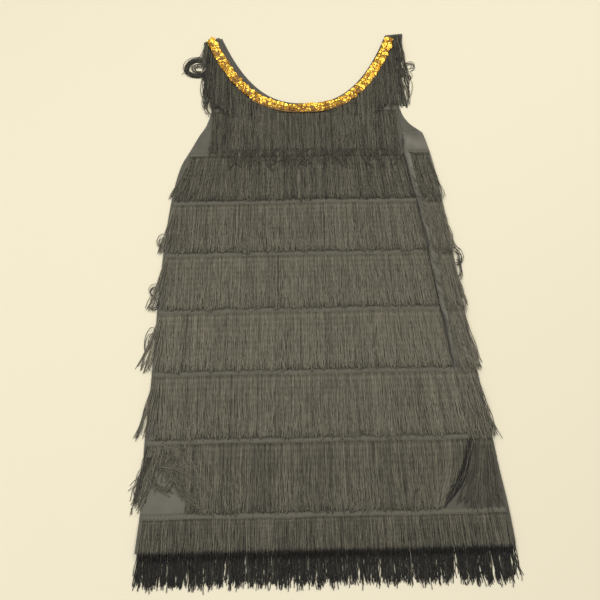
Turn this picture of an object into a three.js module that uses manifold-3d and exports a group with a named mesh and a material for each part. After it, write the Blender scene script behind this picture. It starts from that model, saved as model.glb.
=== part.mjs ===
// A fringed flapper dress laid flat, face up. Millimetres: +X to the right, +Y to the neck, +Z up.
// The origin is on the underside of the back, which lies on the surface Z = 0.
import * as THREE from "three";
import { mergeVertices } from "three/addons/utils/BufferGeometryUtils.js";
import Module from "manifold-3d";

const wasm = await Module();
wasm.setup();

// Driving dimensions
const wall = 1.2; // jersey
const seamGap = 0.3; // between pieces that are sewn to each other
const layGap = 0.35; // between a panel and what lies on it
const hemY = -415;
const hemTurn = 18; // depth of the turned-up hem
const hemLift = 2.5; // the front's hem rides on the back's hem
const hemLiftLength = 40;
const crown = 1.5; // how far the front rises in the middle
const underarmY = 228;
const shoulderY = 438; // the front's form is constant from here up

// The scoop of the neck is a power curve, and the back shows a little inside the front
const neckPower = 2.56;
const neckSteps = 30;
const frontNeck = { centre: -8.5, halfWidth: 151.5, bottom: 294, depth: 158 };
const backNeck = { centre: -6, halfWidth: 149, bottom: 296, depth: 156 };

// Fringe rows, numbered from the chest down
const tierCount = 8;
const tierPitch = 93.3;
const lastTierY = -370; // upper edge of the lowest tape
const fringeLength = 90;
const tapeWidth = 8;
const tapeThickness = 1;
const lockThickness = 1.8;
const lockGap = 1.2; // between neighbouring locks
const lockRise = 0.2; // a lock's root starts this far above the tape's underside
const lockPitch = 18;
const rootDepth = 5; // a lock is fused into the tape over this length
const shortTrim = 4; // the hem's row and the rows at the right side are cut this much shorter
const tipTaper = 0.72; // width at a lock's tip, as a share of the root's
const tipThinning = 0.5; // the same for its thickness
const tipUnevenness = 0.03; // how far tips end short, as a share of the length
const narrowLock = 9; // pitch of the locks of the short rows
const hemLockPitch = 20;
const hemLockLength = 38; // of the back's lowest row, beyond the hem
const lockSway = 1.6; // how far locks lean to either side
const edgeFall = 0.1; // how fast a lock sinks beyond a panel's edge
const hemFall = 9; // length over which locks drop from the hem to the surface
const surfaceRise = 0.4; // locks beside the dress stay this far above the surface
const hemLockRise = 2; // and those of the lowest row above the back's
const sideInset = 2.5; // from a panel's edge to the end of a tape
const leftSlide = [3, 8, 18, 23, 25, 19, 20, 6]; // how far each row's first lock has slid off the left side
const slideFade = 0.55; // from one lock to the next
const rightSlide = [8, 10, 13, 12, 13, 5]; // the same for rows 2 to 7 of the back at the right side
const strapSlide = { upperLeft: -33, lowerLeft: -5, upperRight: 11, lowerRight: 5 };
const strapRows = {
  upperY: 434,
  upperLength: 80,
  upperRise: 2.6, // the upper row lies over the lower row's tape
  lowerShort: 6, // the lower row ends this much short of a full row
  edgeInset: 0.6,
};

// Sequin trim
const trimInset = { left: 7, middle: 4, right: 1.5 }; // plain cloth between the neck's edge and the trim
const trimWidth = 19;
const trimThickness = 1.5;
const trimRise = 2.5; // over the roots of the chest fringe
const trimSteps = 32;
const trimClear = 2; // from the trim to a strap's tape
const trimReach = 0.985; // share of the neck's curve that it follows
const trimEdgeShare = 0.7; // thickness at its edges

// The back turns over at the right side and comes up to the right side seam as a rolled ridge
const foldRadius = 1.9; // of the middle of the wall
const steepWall = 1.24 * wall; // the wall measured straight up on the ridge's slopes
const sideFall = 0.55; // how fast locks sink beyond the fold
const ridge = {
  height: 4.2,
  crestAt: 9, // from the seam
  footAt: 20,
  fromY: -215,
  fullY: -165,
  fromWidth: 18,
  fullWidth: 30,
};

// Edges of the laid dress from the hem to the underarm, with the right side seam drawn in to the front
const sideSections = [
  { y: -415, left: -233, right: 236, seam: 226 },
  { y: -370, left: -231, right: 234, seam: 222 },
  { y: -325, left: -232, right: 230, seam: 211 },
  { y: -280, left: -233, right: 227, seam: 199 },
  { y: -185, left: -231, right: 220, seam: 188 },
  { y: -90, left: -231, right: 215, seam: 179 },
  { y: 5, left: -229, right: 210, seam: 171 },
  { y: 100, left: -223, right: 205, seam: 163 },
  { y: 165, left: -212, right: 199, seam: 153 },
  { y: 198, left: -198, right: 194, seam: 151 },
  { y: 228, left: -185, right: 187, seam: 153 },
];

// Armhole edges from the underarm to the shoulder
const armholeLeft = [
  { x: -185, y: 228 },
  { x: -174, y: 250 },
  { x: -167, y: 285 },
  { x: -168, y: 325 },
  { x: -177, y: 380 },
  { x: -188, y: 440 },
];
const armholeRight = [
  { x: 153, y: 228 },
  { x: 151, y: 262 },
  { x: 153, y: 300 },
  { x: 158, y: 340 },
  { x: 167, y: 388 },
  { x: 175, y: 456 },
];
const armholeRightBack = [
  { x: 187, y: 228 },
  { x: 169, y: 247 },
  { x: 158, y: 268 },
  { x: 153, y: 300 },
  { x: 158, y: 340 },
  { x: 167, y: 388 },
  { x: 175, y: 456 },
];

// Soft ridges of the front: a line from one point to another, with its height and half width
const frontFolds = [
  { fromX: 192, fromY: -298, toX: 162, toY: -350, height: 2.2, halfWidth: 22 },
];

const black = { color: 0x1c1b19, roughness: 0.75, metalness: 0 };
const materials = {
  jersey: new THREE.MeshStandardMaterial({ ...black, roughness: 0.9 }),
  fringe: new THREE.MeshStandardMaterial({ ...black, roughness: 0.55 }),
  sequins: new THREE.MeshStandardMaterial({ color: 0xd9a321, roughness: 0.25, metalness: 0.9 }),
};

const dress = new THREE.Group();

// Small helpers
const smooth = (from, to, value) => {
  const t = THREE.MathUtils.clamp((value - from) / (to - from), 0, 1);
  return t * t * (3 - 2 * t);
};

function sectionAt(column, y) {
  const points = sideSections.map((row) => new THREE.Vector2(row.y, row[column]));
  const last = points.length - 2;
  const i = THREE.MathUtils.clamp(points.findIndex((p) => p.x > y) - 1, 0, last);
  const index = y >= points[last + 1].x ? last : i;
  const [a, b] = [points[index], points[index + 1]];
  const t = THREE.MathUtils.clamp((y - a.x) / (b.x - a.x), 0, 1);
  return THREE.MathUtils.lerp(a.y, b.y, t);
}

function smoothLine(rows, steps) {
  return new THREE.SplineCurve(rows.map((row) => new THREE.Vector2(row.x, row.y))).getPoints(steps);
}

function xOnLine(points, y) {
  const i = points.findIndex((p, k) => k > 0 && p.y >= y);
  const [a, b] = [points[i - 1], points[i]];
  return THREE.MathUtils.lerp(a.x, b.x, (y - a.y) / (b.y - a.y));
}

function neckPoint(neck, u) {
  const x = neck.centre + neck.halfWidth * u;
  return new THREE.Vector2(x, neck.bottom + neck.depth * Math.abs(u) ** neckPower);
}

function neckOffset(neck, u, distance) {
  const step = 1e-3;
  const along = neckPoint(neck, u + step).sub(neckPoint(neck, u - step)).normalize();
  return neckPoint(neck, u).add(new THREE.Vector2(along.y, -along.x).multiplyScalar(distance));
}

// The trim was sewn a little off: its distance from the neck's edge changes from left to right
function trimPoint(u, share) {
  const side = u < 0 ? trimInset.left : trimInset.right;
  const inset = THREE.MathUtils.lerp(trimInset.middle, side, Math.min(Math.abs(u), 1));
  return neckOffset(frontNeck, u, inset + share * trimWidth);
}

// Solids
function solidFrom(geometry) {
  const bare = geometry.clone();
  bare.deleteAttribute("normal");
  bare.deleteAttribute("uv");
  const merged = mergeVertices(bare, 1e-4);
  const vertProperties = merged.getAttribute("position").array;
  const triVerts = new Uint32Array(merged.index.array);
  return new wasm.Manifold(new wasm.Mesh({ numProp: 3, vertProperties, triVerts }));
}

function geometryFrom(solid) {
  const mesh = solid.getMesh();
  const geometry = new THREE.BufferGeometry();
  geometry.setAttribute("position", new THREE.BufferAttribute(mesh.vertProperties, 3));
  geometry.setIndex(new THREE.BufferAttribute(mesh.triVerts, 1));
  return geometry;
}

function addNode(name, solid, material) {
  const geometry = geometryFrom(solid);
  geometry.computeVertexNormals();
  const mesh = new THREE.Mesh(geometry, material);
  mesh.name = name;
  dress.add(mesh);
}

// A closed body from rings of equally many points, each ring a loop that turns the same way
function loft(rings) {
  const count = rings[0].length;
  const geometry = new THREE.BufferGeometry().setFromPoints(rings.flat());
  const index = [];
  for (let r = 0; r + 1 < rings.length; r++) {
    for (let i = 0; i < count; i++) {
      const [a, b] = [r * count + i, r * count + ((i + 1) % count)];
      index.push(a, b, b + count, a, b + count, a + count);
    }
  }
  const lastRing = (rings.length - 1) * count;
  for (let i = 0; i < count / 2 - 1; i++) {
    const far = count - 1 - i;
    index.push(i, far, i + 1);
    index.push(lastRing + i, lastRing + i + 1, lastRing + far);
    if (far - 1 > i + 1) {
      index.push(i + 1, far, far - 1);
      index.push(lastRing + i + 1, lastRing + far - 1, lastRing + far);
    }
  }
  geometry.setIndex(index);
  const solid = solidFrom(geometry);
  if (solid.volume() > 0) return solid;
  return solidFrom(geometry.setIndex(index.reverse()));
}

// A wall over a rectangle of columns and rows, between two height functions
function blanket(xs, ys, under, top) {
  const rings = ys.map((y) => [
    ...xs.map((x) => new THREE.Vector3(x, y, under(x, y))),
    ...xs.toReversed().map((x) => new THREE.Vector3(x, y, top(x, y))),
  ]);
  return loft(rings);
}

function prism(outline, fromZ, toZ) {
  const shape = new THREE.Shape(outline);
  const geometry = new THREE.ExtrudeGeometry(shape, { depth: toZ - fromZ, bevelEnabled: false });
  return solidFrom(geometry.translate(0, 0, fromZ));
}

const spread = (from, to, count) =>
  Array.from({ length: count }, (_, i) => THREE.MathUtils.lerp(from, to, i / (count - 1)));

// Outlines
function neckLine(neck) {
  return spread(1, -1, neckSteps).map((u) => neckPoint(neck, u));
}

function sideLine(column) {
  return sideSections.map((row) => new THREE.Vector2(row[column], row.y));
}

function panelOutline(rightColumn, rightArmhole, neck) {
  return [
    ...sideLine(rightColumn).slice(0, -1),
    ...smoothLine(rightArmhole, 18),
    ...neckLine(neck),
    ...smoothLine(armholeLeft, 18).toReversed(),
    ...sideLine("left").toReversed().slice(1),
  ];
}

const rightArmholeLine = smoothLine(armholeRight, 18);
const leftArmholeLine = smoothLine(armholeLeft, 18);

// Left and right edge of the front at a height
function frontEdges(y) {
  if (y <= underarmY) return [sectionAt("left", y), sectionAt("seam", y)];
  return [xOnLine(leftArmholeLine, y), xOnLine(rightArmholeLine, y)];
}

// The front's form: it rests on the back, rises in the middle, rides up at the hem and has soft ridges
function foldHeight(fold, x, y) {
  const along = new THREE.Vector2(fold.toX - fold.fromX, fold.toY - fold.fromY);
  const length = along.length();
  along.divideScalar(length);
  const [dx, dy] = [x - fold.fromX, y - fold.fromY];
  const t = (dx * along.x + dy * along.y) / length;
  const off = Math.abs(dx * along.y - dy * along.x) / fold.halfWidth;
  const ends = smooth(-0.15, 0.25, t) * smooth(1.15, 0.75, t);
  return off < 1 ? fold.height * ends * (1 - smooth(0, 1, off)) : 0;
}

function frontUnder(x, y) {
  const [left, right] = frontEdges(THREE.MathUtils.clamp(y, hemY, shoulderY));
  const u = THREE.MathUtils.clamp((2 * x - left - right) / (right - left), -1, 1);
  const rise = crown * (1 - u * u) * (1 - smooth(underarmY - 60, underarmY + 120, y));
  const lift = hemLift * smooth(hemY + hemTurn + hemLiftLength, hemY + hemTurn, y);
  const folds = frontFolds.reduce((sum, fold) => sum + foldHeight(fold, x, y), 0);
  return wall + seamGap + rise + lift + folds;
}

const frontTop = (x, y) => frontUnder(x, y) + wall;

// Back: a flat sheet on the surface, its hem turned up inside, and the right side turned over to the front
function returnMiddle(x, fold, seam, y) {
  const width = fold - seam;
  const rolled = smooth(ridge.fromY, ridge.fullY, y) * smooth(ridge.fromWidth, ridge.fullWidth, width);
  const share = (x - seam) / width;
  const low = THREE.MathUtils.lerp(wall + seamGap + wall / 2, wall / 2 + 2 * foldRadius, share);
  const inside = x - seam;
  const up = smooth(0, ridge.crestAt, inside) * smooth(ridge.footAt, ridge.crestAt, inside);
  return low + ridge.height * rolled * up;
}

const turnedSeam = (y) => sectionAt("seam", y) + seamGap + wall / 2;

// Sections of the turned-over strip, at each row of the table and halfway between
const turnedRows = sideSections.flatMap((row, i) => {
  const next = sideSections[i + 1];
  return next ? [row.y, (row.y + next.y) / 2] : [row.y];
});

function turnedSection(y) {
  const right = sectionAt("right", y);
  const seam = turnedSeam(y);
  const foldX = right - foldRadius - wall / 2;
  const middle = [new THREE.Vector2(foldX - 12, wall / 2)];
  for (const turn of spread(-Math.PI / 2, Math.PI / 2, 7)) {
    const [c, s] = [Math.cos(turn), Math.sin(turn)];
    middle.push(new THREE.Vector2(foldX + foldRadius * c, wall / 2 + foldRadius * (1 + s)));
  }
  for (const share of spread(0, 1, 9).slice(1)) {
    const x = THREE.MathUtils.lerp(foldX, seam, share);
    middle.push(new THREE.Vector2(x, returnMiddle(x, foldX, seam, y)));
  }
  const side = (sign) =>
    middle.map((p, i) => {
      const before = middle[Math.max(i - 1, 0)];
      const after = middle[Math.min(i + 1, middle.length - 1)];
      const along = after.clone().sub(before).normalize();
      const off = new THREE.Vector2(along.y, -along.x).multiplyScalar((sign * wall) / 2);
      return new THREE.Vector3(p.x + off.x, y, p.y + off.y);
    });
  return [...side(1), ...side(-1).toReversed()];
}

function hemStrip(rightInset, fromZ, toZ) {
  const ys = [hemY, hemY + hemTurn];
  const xs = spread(sectionAt("left", hemY) + sideInset + 2, sectionAt("seam", hemY) - rightInset, 14);
  return blanket(xs, ys, fromZ, toZ);
}

function makeBack() {
  const sheet = prism(panelOutline("right", armholeRightBack, backNeck), 0, wall);
  const turned = loft(turnedRows.map(turnedSection));
  const hem = hemStrip(8, () => wall - 0.1, () => 2 * wall);
  addNode("back_panel", sheet.add(turned).add(hem), materials.jersey);
}

function makeFront() {
  const [fold] = frontFolds;
  const xs = [...spread(-236, 112, 7), ...spread(fold.toX - fold.halfWidth, 240, 10)];
  const hemRows = spread(hemY - 4, hemY + 52, 8);
  const foldRows = spread(fold.toY, fold.fromY + 20, 7);
  const ys = [...hemRows, ...foldRows, ...spread(-230, 460, 16)];
  const cloth = blanket(xs, ys, frontUnder, frontTop);
  const cut = cloth.intersect(prism(panelOutline("seam", armholeRight, frontNeck), -1, 30));
  const hem = hemStrip(5, (x, y) => frontUnder(x, y) - wall, (x, y) => frontUnder(x, y) + 0.1);
  addNode("front_panel", cut.add(hem), materials.jersey);
}

// A lock of fringe has three sides: two lower corners and a crest
function lock(stations) {
  return loft(
    stations.map(({ x, y, z, width, height }) => [
      new THREE.Vector3(x - width / 2, y, z),
      new THREE.Vector3(x + width / 2, y, z),
      new THREE.Vector3(x, y, z + height),
    ]),
  );
}

const sway = (i, tier) => 0.6 * Math.sin(1.3 * i + 2.3 * tier) + 0.4 * Math.sin(0.57 * i + 1.1 * tier);

// Highest point of what a lock lies on, over its width and a little to both ends
function restUnder(support, x, y, width, reach) {
  const across = spread(x - width / 2, x + width / 2, 5);
  const heights = [y - reach, y, y + reach].flatMap((at) => across.map((side) => support(side, at)));
  return Math.max(...heights) + layGap;
}

// The front, and the fall beyond its edges and its hem
function frontSupport(floor) {
  return (x, y) => {
    const inside = Math.max(y, hemY);
    const [left, right] = frontEdges(inside);
    const outside = Math.max(left - x, x - right, 0);
    const held = frontTop(THREE.MathUtils.clamp(x, left, right), inside) - edgeFall * outside;
    const fall = Math.exp(Math.min(y - hemY, 0) / hemFall);
    return Math.max(floor + (held - floor) * fall, floor);
  };
}

function fringeRow({ name, y, left, right, support, length, leans, drop, tier, lockWidth }) {
  const tapeXs = spread(left, right, Math.max(3, Math.round((right - left) / 45)));
  const tapeUnder = (x, at) => support(x, at) + layGap;
  const tape = blanket(tapeXs, [y - tapeWidth, y], tapeUnder, (x, at) => tapeUnder(x, at) + tapeThickness);
  const count = Math.max(1, Math.round((right - left) / lockWidth));
  const pitch = (right - left) / count;
  let row = tape;
  for (let i = 0; i < count; i++) {
    const rootX = left + pitch * (i + 0.5);
    const reach = length * (1 - tipUnevenness * Math.abs(sway(2 * i, tier)));
    const lean = leans(i);
    const stations = drop(y, reach).map(({ at, share }) => {
      const x = rootX + lean * share * share;
      const width = (pitch - lockGap) * THREE.MathUtils.lerp(1, tipTaper, share);
      const height = lockThickness * THREE.MathUtils.lerp(1, tipThinning, share);
      const z = restUnder(support, x, at, width, share > 0 ? drop.window : 0) + lockRise;
      return { x, y: at, z, width, height };
    });
    row = row.add(lock(stations));
  }
  addNode(name, row, materials.fringe);
}

const rootOf = (y) => y - tapeWidth + rootDepth;
const straightDrop = (y, reach) =>
  [0, 0.35, 0.75, 1].map((share) => ({ at: THREE.MathUtils.lerp(rootOf(y), y - reach, share), share }));
straightDrop.window = 9;

const hemDrop = (y, reach) => {
  const end = y - reach;
  const stops = [rootOf(y), hemY + 22, hemY, hemY - 6, hemY - 16, end];
  return stops.map((at) => ({ at, share: (rootOf(y) - at) / (rootOf(y) - end) }));
};
hemDrop.window = 0;

const surfaceDrop = (y, reach) =>
  [0, 0.5, 1].map((share) => ({ at: THREE.MathUtils.lerp(y - 4, y - reach, share), share }));
surfaceDrop.window = 0;

const tierY = (tier) => lastTierY + (tierCount - tier) * tierPitch;

function makeFrontFringe() {
  for (let tier = 1; tier <= tierCount; tier++) {
    const y = tierY(tier);
    const onHem = tier === tierCount;
    const [upper, lower] = [frontEdges(y), frontEdges(y - tapeWidth)];
    const slide = leftSlide[tier - 1];
    fringeRow({
      name: `front_fringe_${tier}`,
      y,
      left: Math.max(upper[0], lower[0]) + sideInset,
      right: Math.min(upper[1], lower[1]) - sideInset,
      support: frontSupport(onHem ? hemLockRise : surfaceRise),
      length: onHem ? fringeLength - shortTrim : fringeLength,
      leans: (i) => -slide * slideFade ** i + lockSway * sway(i, tier),
      drop: onHem ? hemDrop : straightDrop,
      tier,
      lockWidth: lockPitch,
    });
  }
}

// Fringe of the back that comes round the right side, on the turned-over strip
function makeBackFringe() {
  const turnedTop = (x, y) => {
    const right = sectionAt("right", y);
    const seam = turnedSeam(y);
    const foldX = right - foldRadius - wall / 2;
    const top = returnMiddle(THREE.MathUtils.clamp(x, seam, foldX), foldX, seam, y) + steepWall / 2;
    return Math.max(top - sideFall * Math.max(x - foldX, 0), surfaceRise);
  };
  for (let tier = 2; tier < tierCount; tier++) {
    const y = tierY(tier);
    const fold = Math.min(sectionAt("right", y), sectionAt("right", y - tapeWidth));
    const right = fold - sideInset - foldRadius;
    const seam = Math.max(sectionAt("seam", y), sectionAt("seam", y - tapeWidth));
    fringeRow({
      name: `back_fringe_${tier}`,
      y,
      left: seam + Math.min(ridge.footAt, (right - seam) / 2),
      right,
      support: turnedTop,
      length: fringeLength - shortTrim,
      leans: (i) => rightSlide[tier - 2] * (1 + 0.5 * i),
      drop: straightDrop,
      tier,
      lockWidth: narrowLock,
    });
  }
}

// The back's lowest fringe shows beyond the hem, as a strip with locks that lie on the surface
function makeBackHemFringe() {
  const y = hemY - seamGap;
  fringeRow({
    name: "back_fringe_8",
    y,
    left: sectionAt("left", hemY) + sideInset,
    right: sectionAt("right", hemY) - sideInset,
    support: () => 0,
    length: hemLockLength,
    leans: (i) => 2 * sway(i, 9),
    drop: surfaceDrop,
    tier: 9,
    lockWidth: hemLockPitch,
  });
}

// Short rows on each strap: one caught in the shoulder seam, one a tier above the chest
function makeStrapFringe() {
  const rows = [
    { level: "upper", y: strapRows.upperY, over: strapRows.upperRise, length: strapRows.upperLength },
    { level: "lower", y: tierY(1) + tierPitch, over: 0, length: fringeLength - strapRows.lowerShort },
  ];
  for (const { level, y, over, length } of rows) {
    const outerLeft = Math.max(xOnLine(leftArmholeLine, y), xOnLine(leftArmholeLine, y - tapeWidth));
    const outerRight = Math.min(xOnLine(rightArmholeLine, y), xOnLine(rightArmholeLine, y - tapeWidth));
    const trimEdge = (side) => {
      const near = spread(0.4 * side, side * 1.1, 60).map((u) => trimPoint(u, 1));
      const reached = near.filter((p) => p.y >= y - tapeWidth && p.y <= y).map((p) => p.x);
      return side < 0 ? Math.min(...reached) : Math.max(...reached);
    };
    const held = frontSupport(surfaceRise);
    const support = (x, at) => held(x, at) + over * smooth(386, 379, at);
    const sides = [
      {
        side: "left",
        left: outerLeft + strapRows.edgeInset,
        right: trimEdge(-1) - trimClear,
        lean: strapSlide[`${level}Left`],
      },
      {
        side: "right",
        left: trimEdge(1) + trimClear,
        right: outerRight - strapRows.edgeInset,
        lean: strapSlide[`${level}Right`],
      },
    ];
    for (const { side, left, right, lean } of sides) {
      fringeRow({
        name: `strap_fringe_${side}_${level}`,
        y,
        left,
        right,
        support,
        length,
        leans: () => lean,
        drop: straightDrop,
        tier: 10,
        lockWidth: narrowLock,
      });
    }
  }
}

// Sequin trim along the front's neck, from shoulder to shoulder, over the roots of the chest fringe
function makeTrim() {
  const under = (p) => frontTop(p.x, p.y) + layGap + trimRise * smooth(302, 285, p.y);
  const rings = spread(-trimReach, trimReach, trimSteps).map((u) => {
    const [inner, middle, outer] = [0, 0.5, 1].map((share) => trimPoint(u, share));
    const lower = [inner, outer].map((p) => new THREE.Vector3(p.x, p.y, under(p)));
    const edge = trimThickness * trimEdgeShare;
    const upper = [outer, inner].map((p) => new THREE.Vector3(p.x, p.y, under(p) + edge));
    const crest = new THREE.Vector3(middle.x, middle.y, under(middle) + trimThickness);
    const sole = new THREE.Vector3(middle.x, middle.y, under(middle));
    return [lower[0], sole, lower[1], upper[0], crest, upper[1]];
  });
  addNode("neck_trim", loft(rings), materials.sequins);
}

makeBack();
makeFront();
makeTrim();
makeFrontFringe();
makeBackFringe();
makeBackHemFringe();
makeStrapFringe();

export default dress;
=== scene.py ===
import math

import bpy
import numpy as np
from mathutils.geometry import delaunay_2d_cdt
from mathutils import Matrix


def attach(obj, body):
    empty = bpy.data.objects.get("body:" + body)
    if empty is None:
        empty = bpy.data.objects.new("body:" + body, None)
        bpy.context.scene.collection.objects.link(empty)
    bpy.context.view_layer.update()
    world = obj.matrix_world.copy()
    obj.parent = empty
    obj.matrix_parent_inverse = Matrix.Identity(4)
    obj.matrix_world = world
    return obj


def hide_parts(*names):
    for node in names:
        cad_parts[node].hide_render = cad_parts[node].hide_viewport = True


# A fringed dress laid flat, face up. Sizes are in millimetres, and meshes are written in metres.
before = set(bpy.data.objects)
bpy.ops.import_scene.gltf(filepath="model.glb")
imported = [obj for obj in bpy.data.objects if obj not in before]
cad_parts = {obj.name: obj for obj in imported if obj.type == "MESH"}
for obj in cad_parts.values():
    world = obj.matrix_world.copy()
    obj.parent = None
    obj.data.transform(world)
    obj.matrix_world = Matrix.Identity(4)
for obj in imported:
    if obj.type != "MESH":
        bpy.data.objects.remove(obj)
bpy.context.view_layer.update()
mm = 0.001
dice = np.random.default_rng(1926)
bpy.context.scene.view_settings.view_transform = "Standard"
print("frame loaded:", len(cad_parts), "nodes")


# Camera, floor and light

cameraSet = {"place": (-31.3, -442.4, 800), "down": 65.4, "turn": 1.2, "lens": 36}
floorSet = {"size": 12, "colour": (0.565, 0.535, 0.43), "roughness": 0.75}
lampWarm, fillWarm = (1.0, 0.95, 0.84), (1.0, 0.97, 0.92)
lampSet = [  # two ceiling lamps beyond the neck, and a soft fill from above
    {"name": "lampLeft", "place": (-1.1, 1.15, 2.1), "size": 0.7, "power": 19, "colour": lampWarm},
    {"name": "lampRight", "place": (1.15, 0.95, 1.9), "size": 0.6, "power": 27, "colour": lampWarm},
    {"name": "fillAbove", "place": (-1.0, -0.9, 2.3), "size": 2.6, "power": 50, "colour": fillWarm},
]
skySet = {"colour": (1.0, 0.97, 0.90), "strength": 0.5}


def makeCamera(s):
    bpy.ops.object.select_all(action="DESELECT")
    turn = (math.radians(90 - s["down"]), 0, -math.radians(s["turn"]))
    bpy.ops.object.camera_add(location=[v * mm for v in s["place"]], rotation=turn)
    camera = bpy.context.object
    camera.data.lens = s["lens"]
    camera.data.sensor_width = 36
    camera.data.clip_start = 0.01
    bpy.context.scene.camera = camera


def makeStage(s, lamps, sky):
    bpy.ops.object.select_all(action="DESELECT")
    bpy.ops.mesh.primitive_plane_add(size=s["size"], location=(0, 0, 0))
    floor = bpy.context.object
    floor.name = "paleFloor"
    skin, nodes, links, shader = newMaterial("paleTable")
    shader.inputs["Base Color"].default_value = (*s["colour"], 1)
    shader.inputs["Roughness"].default_value = s["roughness"]
    floor.data.materials.append(skin)
    for lamp in lamps:
        bpy.ops.object.light_add(type="AREA", location=lamp["place"])
        light = bpy.context.object
        light.name = lamp["name"]
        light.data.shape = "DISK"
        light.data.size = lamp["size"]
        light.data.energy = lamp["power"]
        light.data.color = lamp["colour"]
        aim = -light.location.normalized()
        light.rotation_euler = aim.to_track_quat("-Z", "Y").to_euler()
    world = bpy.data.worlds.new("softRoom")
    bpy.context.scene.world = world
    world.use_nodes = True
    back = world.node_tree.nodes["Background"]
    back.inputs["Color"].default_value = (*sky["colour"], 1)
    back.inputs["Strength"].default_value = sky["strength"]


# Materials

def newMaterial(name):
    skin = bpy.data.materials.new(name)
    skin.use_nodes = True
    nodes, links = skin.node_tree.nodes, skin.node_tree.links
    return skin, nodes, links, nodes["Principled BSDF"]


def toneColour(nodes, links, shader, finish):
    # colour between dark and light, by the piece's tone attribute, which carries painted light and shade on
    # some pieces, and a fine speckle
    tone = nodes.new("ShaderNodeAttribute")
    tone.attribute_name = "tone"
    where = nodes.new("ShaderNodeTexCoord")
    noise = nodes.new("ShaderNodeTexNoise")
    noise.inputs["Scale"].default_value = finish["speckle"]
    noise.inputs["Detail"].default_value = 3
    links.new(where.outputs["Object"], noise.inputs["Vector"])
    shift = nodes.new("ShaderNodeMath")
    shift.operation = "MULTIPLY_ADD"
    shift.inputs[1].default_value = finish["amount"]
    links.new(noise.outputs["Fac"], shift.inputs[0])
    links.new(tone.outputs["Fac"], shift.inputs[2])
    ramp = nodes.new("ShaderNodeValToRGB")
    ramp.color_ramp.elements[0].color = (*finish["dark"], 1)
    ramp.color_ramp.elements[1].color = (*finish["light"], 1)
    links.new(shift.outputs[0], ramp.inputs["Fac"])
    links.new(ramp.outputs["Color"], shader.inputs["Base Color"])
    return where


def addBump(nodes, links, shader, height, strength, distance):
    bump = nodes.new("ShaderNodeBump")
    bump.inputs["Strength"].default_value = strength
    bump.inputs["Distance"].default_value = distance
    links.new(height, bump.inputs["Height"])
    links.new(bump.outputs["Normal"], shader.inputs["Normal"])


def ribs(nodes, links, where, axis, spacing, distortion):
    # rows of ridges across an axis, a set spacing in metres apart
    wave = nodes.new("ShaderNodeTexWave")
    wave.bands_direction = axis
    wave.inputs["Scale"].default_value = math.pi / 10 / spacing
    wave.inputs["Distortion"].default_value = distortion
    wave.inputs["Detail"].default_value = 1
    links.new(where.outputs["Object"], wave.inputs["Vector"])
    return wave.outputs["Fac"]


strandFinish = {
    "dark": (0.005, 0.0048, 0.0038),
    "light": (0.158, 0.149, 0.113),
    "speckle": 230, "amount": 0.42,
}


def strandMaterial():
    # twisted rayon: dark warm grey, soft gloss along each strand
    skin, nodes, links, shader = newMaterial("rayonFringe")
    where = toneColour(nodes, links, shader, strandFinish)
    ply = ribs(nodes, links, where, "Y", 0.0016, 2.0)
    addBump(nodes, links, shader, ply, 0.35, 0.0003)
    shader.inputs["Roughness"].default_value = 0.46
    shader.inputs["Specular IOR Level"].default_value = 0.3
    shader.inputs["Sheen Weight"].default_value = 0.05
    shader.inputs["Sheen Roughness"].default_value = 0.4
    return skin


jerseyFinish = {
    "dark": (0.018, 0.0170, 0.0135),
    "light": (0.150, 0.145, 0.123),
    "speckle": 60, "amount": 0.3,
}


def jerseyMaterial():
    # fine black knit: columns of stitches with rows across, a little faded
    skin, nodes, links, shader = newMaterial("blackJersey")
    where = toneColour(nodes, links, shader, jerseyFinish)
    columns = ribs(nodes, links, where, "X", 0.0011, 0.6)
    rows = ribs(nodes, links, where, "Y", 0.0008, 0.8)
    knit = nodes.new("ShaderNodeMath")
    knit.operation = "MULTIPLY"
    links.new(columns, knit.inputs[0])
    links.new(rows, knit.inputs[1])
    addBump(nodes, links, shader, knit.outputs[0], 0.45, 0.0003)
    shader.inputs["Roughness"].default_value = 0.82
    shader.inputs["Specular IOR Level"].default_value = 0.25
    shader.inputs["Sheen Weight"].default_value = 0.15
    return skin


tapeFinish = {"dark": (0.012, 0.0115, 0.009), "light": (0.100, 0.095, 0.074), "speckle": 620, "amount": 0.8}


def tapeMaterial():
    # the knitted heading of the fringe, a shade lighter than the strands
    skin, nodes, links, shader = newMaterial("fringeHeading")
    where = toneColour(nodes, links, shader, tapeFinish)
    chain = ribs(nodes, links, where, "Y", 0.0012, 1.5)
    addBump(nodes, links, shader, chain, 0.4, 0.0003)
    shader.inputs["Roughness"].default_value = 0.62
    shader.inputs["Specular IOR Level"].default_value = 0.35
    return skin


threadFinish = {"dark": (0.02, 0.02, 0.018), "light": (0.10, 0.095, 0.082), "speckle": 300, "amount": 0.3}


def threadMaterial():
    skin, nodes, links, shader = newMaterial("blackThread")
    where = toneColour(nodes, links, shader, threadFinish)
    addBump(nodes, links, shader, ribs(nodes, links, where, "X", 0.0006, 1.0), 0.3, 0.0002)
    shader.inputs["Roughness"].default_value = 0.5
    return skin


goldFinish = {"dark": (0.40, 0.185, 0.018), "light": (0.90, 0.56, 0.092), "speckle": 420, "amount": 0.25}


def goldMaterial():
    # metallised foil: bright gold, each sequin a little different, lightly scratched
    skin, nodes, links, shader = newMaterial("goldSequins")
    where = toneColour(nodes, links, shader, goldFinish)
    noise = nodes.new("ShaderNodeTexNoise")
    noise.inputs["Scale"].default_value = 900
    noise.inputs["Detail"].default_value = 4
    links.new(where.outputs["Object"], noise.inputs["Vector"])
    rough = nodes.new("ShaderNodeMapRange")
    rough.inputs["To Min"].default_value = 0.18
    rough.inputs["To Max"].default_value = 0.42
    links.new(noise.outputs["Fac"], rough.inputs["Value"])
    links.new(rough.outputs["Result"], shader.inputs["Roughness"])
    shader.inputs["Metallic"].default_value = 1.0
    return skin


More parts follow.
